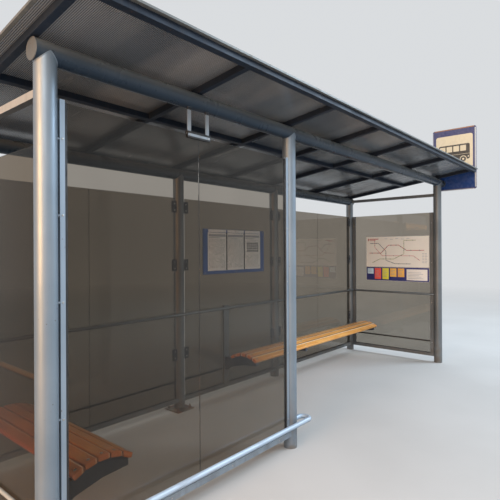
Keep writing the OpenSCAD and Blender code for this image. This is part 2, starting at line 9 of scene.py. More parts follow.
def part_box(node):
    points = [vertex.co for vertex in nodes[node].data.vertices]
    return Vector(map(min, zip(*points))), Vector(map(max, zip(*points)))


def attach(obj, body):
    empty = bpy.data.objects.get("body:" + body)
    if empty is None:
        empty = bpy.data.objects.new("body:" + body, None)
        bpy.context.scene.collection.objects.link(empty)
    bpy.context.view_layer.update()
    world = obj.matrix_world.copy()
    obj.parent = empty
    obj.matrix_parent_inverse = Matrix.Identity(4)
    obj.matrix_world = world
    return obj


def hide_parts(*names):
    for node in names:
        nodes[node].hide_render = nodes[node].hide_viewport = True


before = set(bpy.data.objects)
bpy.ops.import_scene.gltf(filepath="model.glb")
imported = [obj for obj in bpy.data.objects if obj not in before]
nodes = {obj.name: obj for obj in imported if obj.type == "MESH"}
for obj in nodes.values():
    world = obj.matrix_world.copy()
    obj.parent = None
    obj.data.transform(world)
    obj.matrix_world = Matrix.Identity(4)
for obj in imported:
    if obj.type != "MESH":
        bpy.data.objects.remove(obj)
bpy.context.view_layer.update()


# Front posts: three round steel tubes, 108 mm across, let into the floor along the open front.
# Each head is coped to sit under the round beam and welded all round. They are sprayed in a
# satin metallic grey that has clouded a little, with rain streaks and dirt at the foot.
post_radius = .054
saddle_radius = .0543
front_post_xs = 0, 2.0, 5.6
front_beam_height = 2.555
dirt = .15, .125, .1
primer = .11, .06, .035


def start_finish(name):
    """A new finish: the material, its shader, and the shelter's own coordinates in metres."""
    finish = bpy.data.materials.new(name)
    finish.use_nodes = True
    place = finish.node_tree.nodes.new("ShaderNodeTexCoord").outputs["Object"]
    return finish, finish.node_tree.nodes["Principled BSDF"], place


def joined(kind, *sources):
    """A new node of one kind, with its sources joined to its first sockets in turn."""
    tree = sources[0].id_data
    node = tree.nodes.new("ShaderNode" + kind)
    for source, socket in zip(sources, node.inputs):
        tree.links.new(source, socket)
    return node


def spread(value, low, high, start=0, end=1):
    """Takes low to high over to start to end, and holds both ends."""
    change = joined("MapRange", value)
    for socket, amount in zip(change.inputs[1:5], (low, high, start, end)):
        socket.default_value = amount
    return change.outputs["Result"]


def mottled(place, scale, stretch=(1, 1, 1), detail=4, low=.35, high=.65, to=(0, 1)):
    """Cloudy marks, so many to the metre, drawn out along an axis where stretch is small."""
    mapping = joined("Mapping", place)
    mapping.inputs["Scale"].default_value = stretch
    noise = joined("TexNoise", mapping.outputs["Vector"])
    noise.inputs["Scale"].default_value = scale
    noise.inputs["Detail"].default_value = detail
    return spread(noise.outputs["Fac"], low, high, *to)


def even(place, scale, detail=1, stretch=(1, 1, 1)):
    """The same marks without hard edges, for bumps."""
    return mottled(place, scale, stretch, detail, 0, 1)


def worked(operation, first, second=0):
    """One step of arithmetic on a value; the second may be a number."""
    if isinstance(second, (int, float)):
        step = joined("Math", first)
        step.inputs[1].default_value = second
    else:
        step = joined("Math", first, second)
    step.operation = operation
    return step.outputs["Value"]


def along_axis(place, axis):
    """How far along X, Y or Z a point of the shelter lies."""
    return joined("SeparateXYZ", place).outputs[axis]


def mixed(mask, under, over, share=1):
    """One colour laid over another by a mask, as far as share; each is a socket or numbers."""
    mix = joined("Mix", mask if share == 1 else worked("MULTIPLY", mask, share))
    mix.data_type = "RGBA"
    for socket, colour in ((mix.inputs[6], under), (mix.inputs[7], over)):
        if isinstance(colour, tuple):
            socket.default_value = (*colour, 1)
        else:
            mask.id_data.links.new(colour, socket)
    return mix.outputs[2]


def finished(shader, colour, roughness, *heights, metal=None):
    """Joins colour, roughness and metal to a shader, and bumps as pairs of height and metres."""
    tree = shader.id_data
    tree.links.new(colour, shader.inputs["Base Color"])
    tree.links.new(roughness, shader.inputs["Roughness"])
    if metal is not None:
        tree.links.new(metal, shader.inputs["Metallic"])
    normal = None
    for height, rise in heights:
        bump = tree.nodes.new("ShaderNodeBump")
        bump.inputs["Distance"].default_value = rise
        tree.links.new(height, bump.inputs["Height"])
        if normal is not None:
            tree.links.new(normal, bump.inputs["Normal"])
        normal = bump.outputs["Normal"]
        tree.links.new(normal, shader.inputs["Normal"])


def satin_paint(name, pale, dark, metal=.8, gloss=(.4, .52), splash=.45, streak=.24):
    """Sprayed paint: cloudy metal flake, orange peel, rain streaks, chips and a dirty foot."""
    finish, shader, place = start_finish(name)
    chips = worked("MULTIPLY", mottled(place, 75, low=.69, high=.71),
                   mottled(place, 2.7, detail=2, low=.52, high=.6))
    foot = worked("MULTIPLY", spread(along_axis(place, "Z"), splash, 0),
                  mottled(place, 11, detail=6, low=.38, high=.62, to=(.15, 1)))
    colour = mixed(mottled(place, 2.3, detail=6), dark, pale)
    rain = mottled(place, 34, (1, 1, .03), low=.5, high=.78, to=(0, streak))
    colour = mixed(rain, colour, dirt)
    colour = mixed(foot, colour, dirt, .8)
    colour = mixed(chips, colour, primer)
    dull = worked("MAXIMUM", worked("MAXIMUM", foot, rain), chips)
    roughness = worked("MULTIPLY_ADD", dull, .35)
    shader.id_data.links.new(mottled(place, 6, to=gloss), roughness.node.inputs[2])
    finished(shader, colour, roughness, (even(place, 6), .0006), (even(place, 420, 2), .00005),
             (chips, -.00012), metal=spread(dull, 0, 1, metal, .1))
    return finish


def dress(finish, *names, edge=0):
    """Gives solids of the frame their finish, and takes the knife edge off their corners."""
    for name in names:
        solid = nodes[name]
        for slot in solid.material_slots:
            slot.material = finish
        if edge:
            solid.modifiers.new("joined", "WELD").merge_threshold = 1e-5
            softened = solid.modifiers.new("softened", "BEVEL")
            softened.width = edge
            softened.segments = 2
            softened.limit_method = "ANGLE"
            softened.angle_limit = radians(40)
            softened.harden_normals = True


def made(name, mesh, finish, smooth=35):
    """Turns a finished mesh into a piece of the shelter."""
    bmesh.ops.recalc_face_normals(mesh, faces=mesh.faces)
    data = bpy.data.meshes.new(name)
    mesh.to_mesh(data)
    mesh.free()
    data.materials.append(finish)
    data.polygons.foreach_set("use_smooth", [True] * len(data.polygons))
    data.set_sharp_from_angle(angle=radians(smooth))
    piece = bpy.data.objects.new(name, data)
    bpy.context.scene.collection.objects.link(piece)
    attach(piece, "root")
    return piece


def swept(mesh, path, outline, closed=False, up=None, swell=None):
    """Draws an outline along a path; up is where the outline's second number points."""
    path = [Vector(point) for point in path]
    rings = []
    for k, here in enumerate(path):
        ahead = path[(k + 1) % len(path)] if closed or k + 1 < len(path) else here
        behind = path[k - 1] if closed or k else here
        along = (ahead - behind).normalized()
        up = Vector(up) if up else along.orthogonal()
        up = (up - along * up.dot(along)).normalized()
        side = up.cross(along)
        size = swell(k) if swell else 1
        rings.append([mesh.verts.new(here + (side * across + up * over) * size)
                      for across, over in outline])
    corners = len(outline)
    for k in range(len(path) if closed else len(path) - 1):
        low, high = rings[k], rings[(k + 1) % len(path)]
        for j in range(corners):
            beside = (j + 1) % corners
            mesh.faces.new((low[j], low[beside], high[beside], high[j]))
    if not closed:
        mesh.faces.new(rings[0])
        mesh.faces.new(rings[-1])


def weld_bead(mesh, path, width, closed=True):
    """Lays a rippled bead of weld along a line."""
    outline = [(width / 2 * cos(tau / 6 * k), width / 2 * sin(tau / 6 * k)) for k in range(6)]
    swept(mesh, path, outline, closed, swell=lambda k: (.82, 1, 1.12)[k % 3])


def welded(name, finish, slot, *beads):
    """Makes a piece of beads, each with its line and width, and False where its ends are open."""
    welds = bmesh.new()
    for bead in beads:
        weld_bead(welds, *bead)
    made(name, welds, finish, smooth=60)


def straight(start, step, count):
    """Points at even steps along a straight line."""
    return [Vector(start) + Vector(step) * k for k in range(count)]


def coping_line(x, y, beam_height):
    """The line where a post meets the beam that lies across its head."""
    line, points = [], 150
    for k in range(points):
        turn = tau * k / points
        across = post_radius * sin(turn)
        drop = sqrt(saddle_radius ** 2 - across ** 2)
        line.append((x + post_radius * cos(turn), y + across, beam_height - drop))
    return line


post_paint = satin_paint("satin_grey_paint", pale=(.285, .342, .4), dark=(.23, .284, .34))
dress(post_paint, "front_post_left", "front_post_middle")
welded("front_coping_welds", post_paint, "post_paint",
       *((coping_line(x, 0, front_beam_height), .005) for x in front_post_xs))


# Rear posts: four tubes of the same size. Two are let into the floor and the two at the glazed
# bay stand on square plates. The heads are coped and welded as the front ones are. They stand
# out of the sun, as the right front post does, so their paint is a darker, duller copy of the
# posts' paint: painted shade.
rear_line = 1.38
rear_post_xs = 0, 2.0, 3.58, 5.6
rear_beam_height = 2.3733

rear_paint = satin_paint("shaded_grey_paint", pale=(.215, .232, .242), dark=(.155, .172, .185),
                         metal=.7, gloss=(.42, .55))
dress(rear_paint, "rear_post_left", "rear_post_inner", "rear_post_bench", "rear_post_right",
      "front_post_right")
welded("rear_coping_welds", rear_paint, "rear_paint",
       *((coping_line(x, rear_line, rear_beam_height), .005) for x in rear_post_xs))


# Base plates: 10 mm steel squares under the two rear posts of the glazed bay, welded round the
# tube. Four threaded anchors come up through each and are held by nuts on washers. The steel
# is bare, brown with rust and stained by the water that stands on it.
plate_top = .01
plate_xs = 0, 2.0
anchor_reach = .075


def circle_line(where, axis, radius, points, height=0):
    """Points round a circle that is square to an axis, and so far along it."""
    turn = Vector(axis).normalized().to_track_quat("Z", "Y").to_matrix()
    return [Vector(where) + turn @ Vector((radius * cos(tau * k / points),
                                           radius * sin(tau * k / points), height))
            for k in range(points)]


def turned(mesh, outline, where, axis=(0, 0, 1), sides=16):
    """Turns an outline of radius and height round an axis, as on a lathe."""
    rings = [[mesh.verts.new(point) for point
              in circle_line(where, axis, radius, sides if radius else 1, height)]
             for radius, height in outline]
    for low, high in zip(rings, rings[1:]):
        for k in range(sides):
            corners = (low[k % len(low)], low[(k + 1) % len(low)], high[(k + 1) % len(high)],
                       high[k % len(high)])
            mesh.faces.new(list(dict.fromkeys(corners)))


def hex_nut(mesh, where, axis, size):
    """A chamfered hexagon, as a nut or a bolt's head, on a washer."""
    turned(mesh, [(0, 0), (size * .95, 0), (size, size * .03), (size, size * .16),
                  (size * .93, size * .2), (0, size * .2)], where, axis, 24)
    turned(mesh, [(0, size * .19), (size * .84, size * .19), (size * .86, size * .75),
                  (size * .74, size * .86), (0, size * .86)], where, axis, 6)


rusty_steel, shader, place = start_finish("stained_plate_steel")
rust = mottled(place, 16, detail=8, low=.42, high=.58)
colour = mixed(mottled(place, 90, detail=3), (.1, .095, .09), (.17, .16, .15))
colour = mixed(rust, colour, (.21, .095, .045))
colour = mixed(mottled(place, 5, low=.52, high=.7), colour, (.3, .27, .22))
finished(shader, colour, spread(rust, 0, 1, .48, .82), (even(place, 260, 6), .0003),
         (rust, .00025), metal=spread(rust, 0, 1, .7, .05))
dress(rusty_steel, "rear_base_plates", edge=.0008)

thread_crest, thread_root, half_pitch, anchor_top = .0078, .007, .002, .0355
anchors = bmesh.new()
thread = [(0, -.008), (thread_crest, -.008)]
for k in range(21):
    thread.append((thread_crest if k % 2 else thread_root, -.006 + half_pitch * k))
thread += [(.0062, anchor_top), (0, anchor_top)]
for x in plate_xs:
    for across in (-anchor_reach, anchor_reach):
        for along in (-anchor_reach, anchor_reach):
            spot = (x + across, rear_line + along, plate_top)
            turned(anchors, thread, spot, sides=14)
            hex_nut(anchors, spot, (0, 0, 1), .0152)
made("anchor_nuts", anchors, rusty_steel, smooth=30)
welded("plate_welds", rusty_steel, "foot_steel",
       *((circle_line((x, rear_line, plate_top + .0015), (0, 0, 1), .0555, 135), .009)
         for x in plate_xs))


# Beams: two round tubes as wide as the posts, which run the whole length and stop a hand's
# breadth past the end posts. They are sprayed in the same paint as the posts, but are given a
# darker, bluish copy of it as painted shade. Their tops are pale with dust and painted light,
# and their under sides darker still, as painted shade.
beam_paint = satin_paint("dark_beam_paint", pale=(.066, .084, .104), dark=(.046, .06, .076),
                         metal=.2, gloss=(.24, .34), streak=.12)


def dulled(finish, level):
    """Takes most of the shine off a paint."""
    finish.node_tree.nodes["Principled BSDF"].inputs["Specular IOR Level"].default_value = level


def dust_painted_light_and_shade(finish, painted_shade_under, dust_and_painted_light, share):
    """Pale dust and painted light on the upper sides, painted shade on the under sides."""
    tree = finish.node_tree
    colour = tree.nodes["Principled BSDF"].inputs["Base Color"]
    facing = along_axis(tree.nodes["Texture Coordinate"].outputs["Normal"], "Z")
    under = mixed(spread(facing, .05, -.65, 0, share), colour.links[0].from_socket, painted_shade_under)
    tree.links.new(mixed(spread(facing, -.1, .9, 0, .75), under, dust_and_painted_light), colour)


dulled(beam_paint, .25)
# Pale dust and painted light on top, painted shade underneath.
dust_painted_light_and_shade(beam_paint, (.01, .024, .044), (.27, .275, .255), .9)
dress(beam_paint, "front_beam", "rear_beam")


# End caps: steel discs that close both ends of each beam against rain. They are welded round
# the rim and the bead is painted over in a paler grey, now chalky.
beam_ends = -.064, 5.655
cap_paint = satin_paint("chalky_cap_paint", pale=(.132, .146, .154), dark=(.104, .115, .121),
                        metal=.3, gloss=(.5, .62))
dress(cap_paint, "beam_end_caps", edge=.0008)
welded("cap_welds", cap_paint, "cap_paint",
       *((circle_line((x, y, z), (1, 0, 0), .0534, 120), .0042) for x in beam_ends
         for y, z in ((0, front_beam_height), (rear_line, rear_beam_height))))


# Rafters and purlins: 40 mm square steel tubes under the roof. Seven rafters lie on the beams
# and slope to the rear, and purlins run between and across their ends. Each is welded with a
# short bead at every side that it touches. They are sprayed in the posts' paint, but are given
# a near-black slate blue instead: painted shade from the roof above.
roof_slope = radians(7.5)
rafter_xs = -.057, 1.0, 2.0, 2.79, 3.58, 4.59, 5.657
rafter_half = .02
rear_beam_run = 1.3919
purlin_sides = -.4625, .485, .53, 1.515


def on_slope(x, run, rise):
    """A point from its distance down the roof and square to it."""
    return Vector((x, run * cos(roof_slope) + rise * sin(roof_slope),
                   front_beam_height - run * sin(roof_slope) + rise * cos(roof_slope)))


# Near-black slate blue: painted shade.
roof_paint = satin_paint("slate_roof_paint", pale=(.012, .022, .04), dark=(.008, .014, .026),
                         metal=.1, gloss=(.5, .62), splash=.01, streak=.1)
dulled(roof_paint, .28)
dress(roof_paint, "rafters", "eave_purlin", "mid_purlins", "rear_purlin", edge=.002)
beads = []
for x in rafter_xs:
    for run in (0, rear_beam_run):
        for side in (-1, 1):
            line = [on_slope(x + side * (rafter_half + .0012), run + step,
                             sqrt(post_radius ** 2 - step ** 2) + .0008)
                    for step in (-.024 + .002 * k for k in range(25))]
            beads.append((line, .0062, False))
    for run in purlin_sides:
        line = [on_slope(x - rafter_half + .0016 * k, run, .0548 if k % 2 else .0546)
                for k in range(26)]
        beads.append((line, .0046, False))
welded("roof_frame_welds", roof_paint, "roof_paint", *beads)


# Roof sheets: four sheets of 10 mm twin-wall polycarbonate, smoked brown-grey. The walls inside
# stand every 10 mm from front to rear, and both skins pucker in a little at each of them, which
# is what draws the fine lines. They lie on the rafters and are held by their edges.
sheet_low, sheet_high = .0946, .1046
sheet_front, sheet_back = -.493, 1.562
flute = .01
pucker = .00055
hollow = .22, .78

smoked_sheet, shader, place = start_finish("smoked_twin_wall")
wall_line = worked("FRACT", worked("DIVIDE", along_axis(place, "X"), flute))
from_wall = worked("ABSOLUTE", worked("SUBTRACT", wall_line, .5))
near_wall = spread(from_wall, .24, .42)
# The cloudy tone is drawn out into light and dark streaks from front to rear: partly the sheet's
# own uneven tint, partly the glossy underside's sheen streaks, as painted reflection.
colour = mixed(mottled(place, 2.2, (1, .16, 1), detail=3), (.168, .198, .23), (.336, .358, .378))
colour = mixed(mottled(place, .9, (1, .3, 1), detail=2, low=.5, high=.62, to=(0, .38)), colour,
               (.35, .285, .24))
colour = mixed(mottled(place, 1.6, (1, .2, 1), detail=2, low=.53, high=.4, to=(0, .7)), colour,
               (.075, .098, .125))
colour = mixed(near_wall, colour, (.022, .026, .032), .92)
film = mottled(place, 5, (1, .1, 1), detail=5, low=.46, high=.72)
colour = mixed(film, colour, (.24, .235, .22), .22)
finished(shader, colour, spread(film, 0, 1, .17, .3),
         (even(place, 2.2, 1, (1, .45, 1)), .006),
         (even(place, 130, 2, (1, .15, 1)), .00008))
shader.inputs["Transmission Weight"].default_value = .22
shader.inputs["IOR"].default_value = 1.58
for number in range(1, 5):
    name = f"roof_sheet_{number}"
    low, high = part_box(name)
    stations = [(low.x, 0)]
    for k in range(int(low.x // flute), int(high.x // flute) + 1):
        for part, out in ((hollow[0], pucker), (hollow[1], pucker), (1, 0)):
            if low.x + .001 < flute * (k + part) < high.x - .001:
                stations.append((flute * (k + part), out))
    stations.append((high.x, 0))
    sheet = bmesh.new()
    front_low, front_high, back_low, back_high = (
        [sheet.verts.new(on_slope(x, run, base + away * out)) for x, out in stations]
        for run in (sheet_front, sheet_back)
        for base, away in ((sheet_low + pucker, -1), (sheet_high - pucker, 1)))
    for k in range(len(stations) - 1):
        for one, other in ((front_low, back_low), (front_high, back_high),
                           (front_low, front_high), (back_low, back_high)):
            sheet.faces.new((one[k], one[k + 1], other[k + 1], other[k]))
    for k in (0, -1):
        sheet.faces.new((front_low[k], back_low[k], back_high[k], front_high[k]))
    piece = made(name + "_fluted", sheet, smoked_sheet, smooth=60)
    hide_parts(name)


# Cover strips and edge channels: drawn aluminium. A flat strip closes each joint between two
# sheets and a channel wraps every free edge of the roof. Screws with sealing washers hold them
# down to the rafters. The mill finish is dull, and its grey is drawn darker than bare aluminium,
# as painted shade under the eaves, with a paler bloom in patches.
strip_xs = 1.0, 2.79, 4.59
strip_top = .1075
channel_top = .1066
strip_screw_pitch, edge_screw_pitch = .245, .2485
edge_screw_runs = -.4715, 1.5405


def fastened(name, outline, finish, *spots, smooth=35, sides=16):
    """Turns the same fastener at every spot, each given with the way that it points."""
    mesh = bmesh.new()
    for where, way in spots:
        turned(mesh, outline, where, way, sides)
    made(name, mesh, finish, smooth)


dull_aluminium, shader, place = start_finish("weathered_aluminium")
drawn = mottled(place, 240, (.03, 1, 1), detail=2)
colour = mixed(mottled(place, 4, detail=6), (.105, .11, .107), (.15, .155, .15))
colour = mixed(drawn, colour, (.21, .215, .21), .25)
bloom = mottled(place, 28, detail=5, low=.55, high=.7)
colour = mixed(bloom, colour, (.2, .2, .185), .4)
finished(shader, colour, spread(bloom, 0, 1, .5, .64), (drawn, .00005),
         (even(place, 600), .00002), metal=spread(bloom, 0, 1, .35, .2))
dress(dull_aluminium, "sheet_joint_strips", "sheet_edge_channels", edge=.0006)
sealed_screw = [(0, -.0006), (.0085, -.0006), (.0088, .0008), (.007, .0018), (.0052, .0019),
                (.0052, .003), (.0046, .005), (.0028, .0056), (.0024, .0044), (0, .0044)]
up_slope = on_slope(0, 0, 1) - on_slope(0, 0, 0)
fastened("roof_screws", sealed_screw, dull_aluminium,
         *((on_slope(x, -.43 + strip_screw_pitch * k, strip_top), up_slope)
           for x in strip_xs for k in range(9)),
         *((on_slope(-.05 + edge_screw_pitch * k, run, channel_top - .0004), up_slope)
           for run in edge_screw_runs for k in range(24)), smooth=40)


# Glass: 8 mm toughened panes, bronze right through, with ground edges. Two stand in the front
# bay, five along the rear and one in each end. Fine dust lies on them, thicker at the foot.
def blended(share, under, over, output):
    """Mixes two shaders by a share, and joins them to the material's or the world's output."""
    tree = share.id_data
    mix = joined("MixShader", share, under, over)
    tree.links.new(mix.outputs["Shader"], tree.nodes[output].inputs["Surface"])


def bronze_glass(name, through, one_face, bend, glint):
    """Tinted glass: its colour, the light each face lets by, its index, and its shine."""
    finish, shader, place = start_finish(name)
    tree = finish.node_tree
    dust = worked("MULTIPLY", spread(along_axis(place, "Z"), .85, .1, .12, 1),
                  mottled(place, 9, (1, 1, .4), detail=4, low=.4, high=.7))
    wiped = mottled(place, 3, (1, 1, .25), detail=3, low=.5, high=.62, to=(1, .4))
    finished(shader, mixed(mottled(place, 1.5, detail=2), through,
                           tuple(part * .92 for part in through)),
             spread(worked("MULTIPLY", dust, wiped), .35, 1, 0, .06),
             (even(place, 1.4), .0012))
    shader.inputs["Transmission Weight"].default_value = 1
    shader.inputs["IOR"].default_value = bend
    shader.inputs["Specular Tint"].default_value = (glint, glint, glint, 1)
    clear = tree.nodes.new("ShaderNodeBsdfTransparent")
    clear.inputs["Color"].default_value = (*one_face, 1)
    rays = tree.nodes.new("ShaderNodeLightPath")
    blended(rays.outputs["Is Shadow Ray"], shader.outputs["BSDF"], clear.outputs["BSDF"],
            "Material Output")
    return finish


# The left end's pane is given a deeper tint than the others, as painted shade.
for panes, *tint in (
        ("front_glass", "pale_bronze_glass", (.37, .333, .285), (.86, .84, .82), 1.45, .6),
        ("left_end_glass", "deep_bronze_glass", (.25, .195, .14), (.78, .75, .72), 1.15, .8),
        ("rear_glass", "bronze_glass", (.245, .212, .172), (.82, .8, .78), 1.46, .85),
        ("right_end_glass", "light_bronze_glass", (.33, .29, .24), (.84, .82, .8), 1.46, .85)):
    dress(bronze_glass(*tint), panes, edge=.001)


# Seals: a black rubber lip on both faces of each front pane beside its bar, tape under every
# pane's foot, and a thread of black silicone in each joint between two panes.
front_foot, front_top = .14, 2.33
front_lip_xs = (.0822, .0965), (1.9035, 1.9178)
front_lip_ys = (-.0244, -.022), (-.014, -.0116)
front_pane_xs = (.098, .977), (.983, 1.902)
wall_foot, wall_top = .12, 2.1288
rear_pane_xs = (.11, .995), (1.005, 1.89), (2.11, 3.47), (3.69, 4.585), (4.595, 5.49)
rear_joint_xs = 1.0, 4.59
end_pane_xs = -.004, 5.596


def slab(mesh, low, high, soft=.0004):
    """A plate or strip between two corners, with its edges rounded over."""
    low, high = Vector(low), Vector(high)
    size = Matrix.Diagonal((*(high - low), 1))
    fresh = bmesh.ops.create_cube(mesh, size=1,
                                  matrix=Matrix.Translation((low + high) / 2) @ size)
    edges = list({edge for corner in fresh["verts"] for edge in corner.link_edges})
    bmesh.ops.bevel(mesh, geom=edges, offset=soft, segments=2, affect="EDGES", profile=.5)


def plates(name, finish, slot, *pieces):
    """Makes a piece of plates, each with its two corners and how far its edges are rounded."""
    mesh = bmesh.new()
    for piece in pieces:
        slab(mesh, *piece)
    made(name, mesh, finish)


def moulded(name, dark, pale, clouds, sheen, gloss, grain, rise):
    """Black rubber or plastic, cloudy in its colour and its sheen, with a fine grain."""
    finish, shader, place = start_finish(name)
    finished(shader, mixed(mottled(place, clouds, detail=6), dark, pale),
             mottled(place, sheen, to=gloss), (even(place, grain, 3), rise))
    return finish


black_rubber = moulded("black_seal_rubber", (.012, .012, .013), (.026, .026, .027),
                       22, 40, (.45, .68), 300, .0001)
plates("glass_seals", black_rubber, "clamp_black",
       *(((low_x, low_y, front_foot), (high_x, high_y, front_top))
         for low_x, high_x in front_lip_xs for low_y, high_y in front_lip_ys),
       *(((low_x, -.0248, front_foot + .0002), (high_x, -.0221, front_foot + .008))
         for low_x, high_x in front_pane_xs),
       ((.9782, -.0212, front_foot + .0005), (.9818, -.0148, front_top - .0005)),
       *(((x - .0018, 1.3568, wall_foot + .0005), (x + .0018, 1.3632, wall_top))
         for x in rear_joint_xs),
       *(((low_x, 1.3528, wall_foot + .0002), (high_x, 1.3558, wall_foot + .007))
         for low_x, high_x in rear_pane_xs),
       *(((x + out, .112, wall_foot + .0002), (x + out + .0032, 1.268, wall_foot + .007))
         for x in end_pane_xs for out in (-.0034, .0082)))


# Front bars and sill: two grooved steel bars stand off the posts on short spacers and take the
# panes' edges, and a steel rail between the posts takes their feet. Pan-head screws close the
# groove at each spacer. All of it is in the posts' paint, in a paler and bluer mix.
bar_middles = .069, 1.931
bar_faces = -.03, -.006
spacer_heights = .25, .78, 1.35, 1.775, 2.15
sill_ends = .0545, 1.9455
sill_screw_xs = .2, .733, 1.266, 1.799

bar_paint = satin_paint("pale_bar_paint", pale=(.365, .44, .52), dark=(.3, .37, .445), splash=.2)
dress(bar_paint, "front_glazing_bars", "front_sill", edge=.0008)
zinc, shader, place = start_finish("zinc_plated_steel")
colour = mixed(mottled(place, 120, detail=3), (.42, .43, .44), (.58, .58, .57))
finished(shader, colour, mottled(place, 60, to=(.24, .42)), (even(place, 700, 2), .00003))
shader.inputs["Metallic"].default_value = .95
pan_head = [(0, -.0004), (.0058, -.0004), (.006, .0006), (.0052, .0022), (.003, .0031),
            (.0016, .0032), (.0014, .0016), (0, .0016)]
front, back = (0, -1, 0), (0, 1, 0)
fastened("front_bar_screws", pan_head, zinc,
         *(((x, face, z), way) for x in bar_middles for z in spacer_heights
           for face, way in zip(bar_faces, (front, back))),
         *(((x, -.038, .12), front) for x in sill_screw_xs))
welded("sill_welds", bar_paint, "post_paint",
       *((straight((x, -.034, .141), (0, .0012, 0), 28), .0055, False) for x in sill_ends),
       *((straight((x, -.0375, .102), (0, 0, .0013), 28), .005, False) for x in sill_ends))


# Hanger straps: a clamp over the top edge of both front panes at their joint, carried from the
# beam by two flat straps. The straps are welded to the beam; the clamp is lined with black
# rubber and has four bolts.
strap_xs = .902, 1.058
clip_left, clip_right = .8805, 1.0795
clip_foot, clip_top = 2.3105, 2.352
jaw_ys = (-.0296, -.0222), (-.0138, -.0064)
band_heights = (2.313, 2.3225), (2.3385, 2.348)
clip_bolt_height = 2.3292
strap_face_ys = -.0212, -.0148

dress(satin_paint("pale_strap_paint", pale=(.33, .36, .39), dark=(.27, .3, .33), metal=.7,
                  gloss=(.42, .52)), "glass_hangers", edge=.0006)
plates("clip_liner", black_rubber, "clamp_black",
       ((clip_left, -.0298, 2.3462), (clip_right, -.0062, clip_top), .0012),
       *(((clip_left, low_y, clip_foot), (clip_right, high_y, 2.316), .0012)
         for low_y, high_y in jaw_ys),
       *(((x, low_y, clip_foot), (x + .005, high_y, clip_top), .0012)
         for x in (clip_left, clip_right - .005) for low_y, high_y in jaw_ys),
       *(((clip_left, low_y, low_z), (clip_right, low_y + .0012, high_z))
         for low_z, high_z in band_heights for low_y in (-.03, -.0072)),
       # The black rubber sleeves at the straps' tops, under the beam, are painted shade.
       *(((x - .0165, -.0225, 2.488), (x + .0165, -.0135, 2.505), .001) for x in strap_xs))
bolts = bmesh.new()
for x in strap_xs:
    for face, way in ((-.029, -1), (-.007, 1)):
        hex_nut(bolts, (x, face, clip_bolt_height), (0, way, 0), .006)
made("strap_bolts", bolts, zinc, smooth=30)
welded("strap_welds", beam_paint, "beam_paint",
       *((straight((x - .0145, face, 2.5035), (.0011, 0, 0), 27), .0085, False)
         for x in strap_xs for face in strap_face_ys))


# Bumper: a 38 mm tube before the foot of the glazed bay, which keeps knocks off the glass. At
# both ends it turns back in a wide bend and is welded to the front of the post. It is sprayed
# in a bluer silver than the rest, and is scuffed. Its top is paler and bluer, as painted light,
# and its under side darker, as painted shade.
bumper_height = .208
bumper_bend_xs = -.119, 2.119
bumper_front = -.095
bumper_post_xs = -.0535, 2.0535

bumper_paint, shader, place = start_finish("scuffed_silver_blue")
scuffs = worked("MULTIPLY", mottled(place, 9, (.5, 6, 6), detail=6, low=.56, high=.66),
                mottled(place, 2, detail=2, low=.45, high=.6))
colour = mixed(mottled(place, 3, detail=6), (.4, .5, .61), (.47, .565, .67))
colour = mixed(scuffs, colour, (.18, .18, .18), .7)
finished(shader, colour, spread(scuffs, 0, 1, .46, .62), (even(place, 10), .0006),
         (even(place, 420, 2), .00006), (scuffs, -.0001), metal=spread(scuffs, 0, 1, .3, .2))
# Painted light on the top, painted shade on the under side.
dust_painted_light_and_shade(bumper_paint, (.15, .21, .29), (.44, .54, .66), .85)
dress(bumper_paint, "bumper_rail", "bumper_bends")
welded("bumper_welds", bumper_paint, "bumper_paint",
       *((circle_line((x, bumper_front, bumper_height), (1, 0, 0), .0187, 66), .003)
         for x in bumper_bend_xs),
       *((circle_line((x, 0, bumper_height), (1, 0, 0), .0192, 66), .006)
         for x in bumper_post_xs))


# End and rear walls: grooved flat bars beside the end posts hold the end panes, and tubes run
# between the posts as leaning rails. Their ends are cut to the post and welded, and zinc-plated
# screws hold the bars. The left end's rails are given a paler paint as painted sunlight, paler
# still on top with dust and painted light, and near black beneath as painted shade. The other
# bars and rails take the rear posts' darker paint, as painted shade.
end_wall_xs = 0, 5.6
rear_bay_ends = (0, 1), (2.0, -1), (2.0, 1), (3.58, -1), (3.58, 1), (5.6, -1)
end_bar_ys = .08, 1.3
end_screw_heights = .27, .84, 1.41, 1.98
rear_rail_y, low_rail_height, foot_rail_height, top_rail_height = 1.379, .285, .1205, 2.3528
post_faces = .052, 1.328

rail_paint = satin_paint("sunlit_rail_paint", pale=(.42, .418, .395), dark=(.35, .348, .33),
                         metal=.2, gloss=(.42, .54))
# Dust and painted light on top, painted shade beneath.
dust_painted_light_and_shade(rail_paint, (.016, .018, .02), (.45, .44, .4), .9)
dress(rail_paint, "left_end_rails", edge=.0008)
# The darker paint here is painted shade.
dress(rear_paint, "left_end_bars", "right_end_bars", "right_end_rails", "rear_rails",
      "bench_supports", edge=.0008)
fastened("end_bar_screws", pan_head, zinc,
         *(((x + side * .01, y, z), (side, 0, 0)) for x in end_wall_xs for y in end_bar_ys
           for z in end_screw_heights for side in (-1, 1)))
beads = []
for x, side in rear_bay_ends:
    beads.append((circle_line((x + side * .0528, rear_rail_y, low_rail_height), (1, 0, 0),
                              .0112, 42), .0042))
    beads.append((straight((x + side * .0375, 1.3405, foot_rail_height), (0, .0012, 0), 33),
                  .005, False))
for x, side in zip(end_wall_xs, (1, -1)):
    for y in post_faces:
        beads.append((circle_line((x - side * .019, y, low_rail_height), (0, 1, 0), .0112, 42),
                      .0042))
        for z in (foot_rail_height, top_rail_height):
            beads.append((straight((x - .0195, y, z), (.0012, 0, 0), 33), .005, False))
welded("wall_rail_welds", rear_paint, "rear_paint", *beads)


